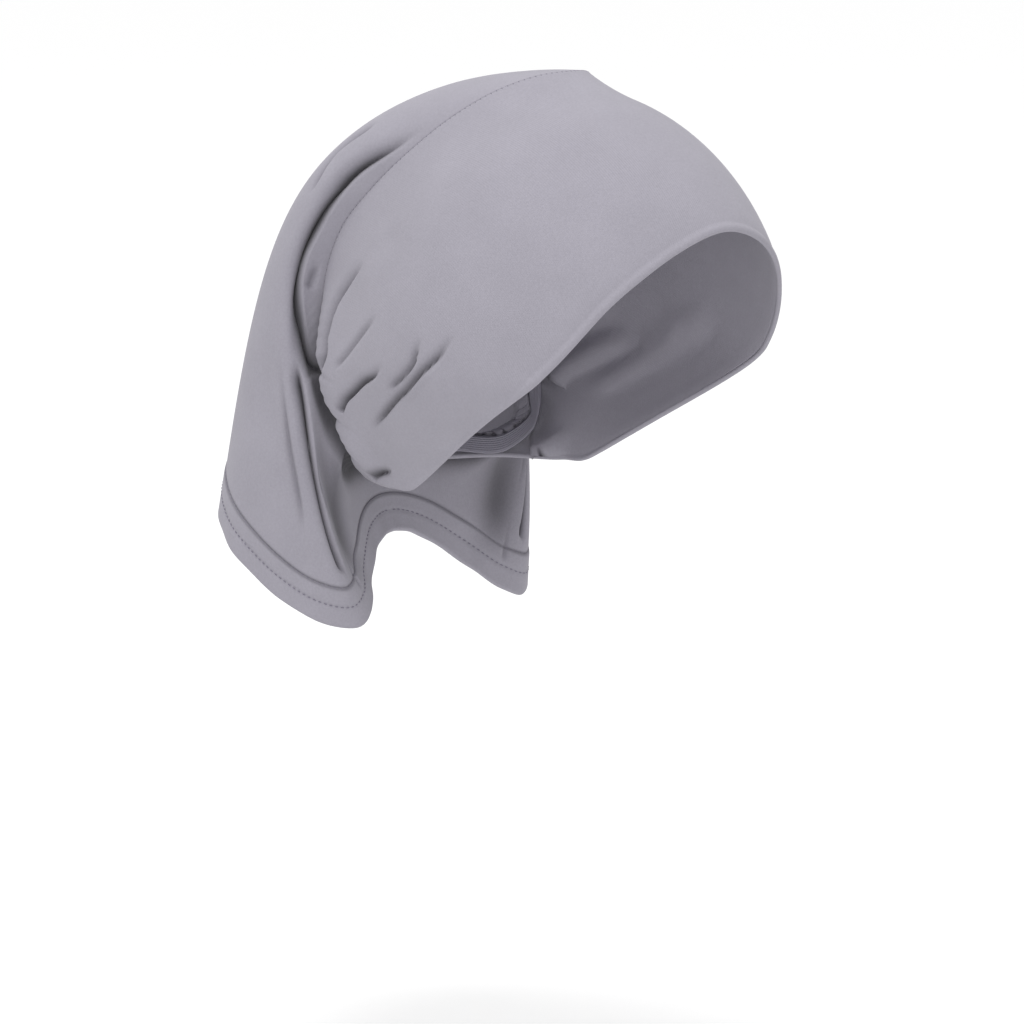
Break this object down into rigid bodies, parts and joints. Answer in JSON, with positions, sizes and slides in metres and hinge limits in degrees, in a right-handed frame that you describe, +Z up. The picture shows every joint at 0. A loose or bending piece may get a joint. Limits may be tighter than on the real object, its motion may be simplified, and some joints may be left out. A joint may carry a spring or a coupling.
{
  "type": "hijab underscarf cap",
  "caption": "Stretch jersey underscarf cap in its worn form: smooth two-ply front, curved crown seam, gathers at the nape and a slouchy open tail with a turned hem.",
  "frame": {"origin": "inside of the cloth at the top of the crown, where the crown seam crosses the midline and the head bears", "axes": "+Z up, -Y towards the face, +Y towards the tail, +X towards the wearer's left"},
  "size_m": [0.156, 0.2317, 0.2191],
  "materials": {
    "front_jersey": "soft matt mauve-grey viscose jersey, two plies",
    "tail_jersey": "soft matt mauve-grey viscose jersey, one ply",
    "hem_jersey": "the same jersey turned and sewn with a twin needle",
    "elastic": "plain woven grey elastic, covered by the cloth"
  },
  "bodies": {
    "root": {"front_panel": "front_jersey", "tail": "tail_jersey", "tail_hem": "hem_jersey", "nape_elastic": "elastic"}
  },
  "joints": []
}
